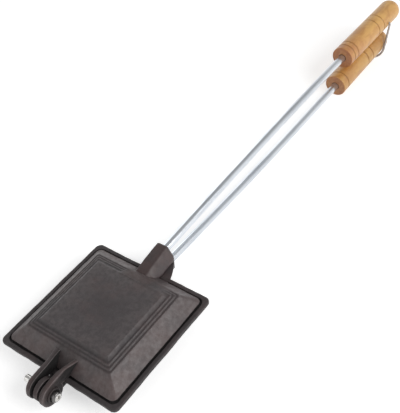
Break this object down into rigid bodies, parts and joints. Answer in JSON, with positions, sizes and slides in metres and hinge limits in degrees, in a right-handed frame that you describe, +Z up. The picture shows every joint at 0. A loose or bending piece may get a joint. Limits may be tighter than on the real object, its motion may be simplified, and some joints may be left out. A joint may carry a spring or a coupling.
{
  "type": "stovetop sandwich maker",
  "caption": "Square cast iron sandwich press: two hinged dished pans on long steel rods with turned wood handles, held shut by a wire bail.",
  "frame": {"origin": "centre of the lower pan's flat underside, the face that rests on the stove", "axes": "+X from the hinge towards the handles, +Z up through the upper pan, +Y to the side of the hinge nut"},
  "size_m": [0.6246, 0.125, 0.0547],
  "materials": {
    "cast_iron": "rough sand cast, seasoned",
    "bright_screw": "bright",
    "plated_rod": "bright plated",
    "varnished_wood": "clear varnish",
    "bail_wire": "grey drawn wire"
  },
  "bodies": {
    "lower": {"lower_pan": "cast_iron", "lower_rod": "plated_rod", "lower_handle": "varnished_wood"},
    "upper": {"upper_pan": "cast_iron", "hinge_screw": "bright_screw", "hinge_nut": "bright_screw", "upper_rod": "plated_rod", "upper_handle": "varnished_wood"},
    "latch": {"latch_bail": "bail_wire"}
  },
  "joints": [
    {"name": "pan_hinge", "type": "hinge", "parent": "lower", "child": "upper", "pos_m": [-0.0762, -0.0023, 0.0175], "axis": [0, -1, 0], "range_deg": [0, 180]},
    {"name": "bail_pivot", "type": "hinge", "parent": "upper", "child": "latch", "pos_m": [0.50038, 0, 0.03049], "axis": [0, -1, 0], "range_deg": [0, 270]}
  ]
}
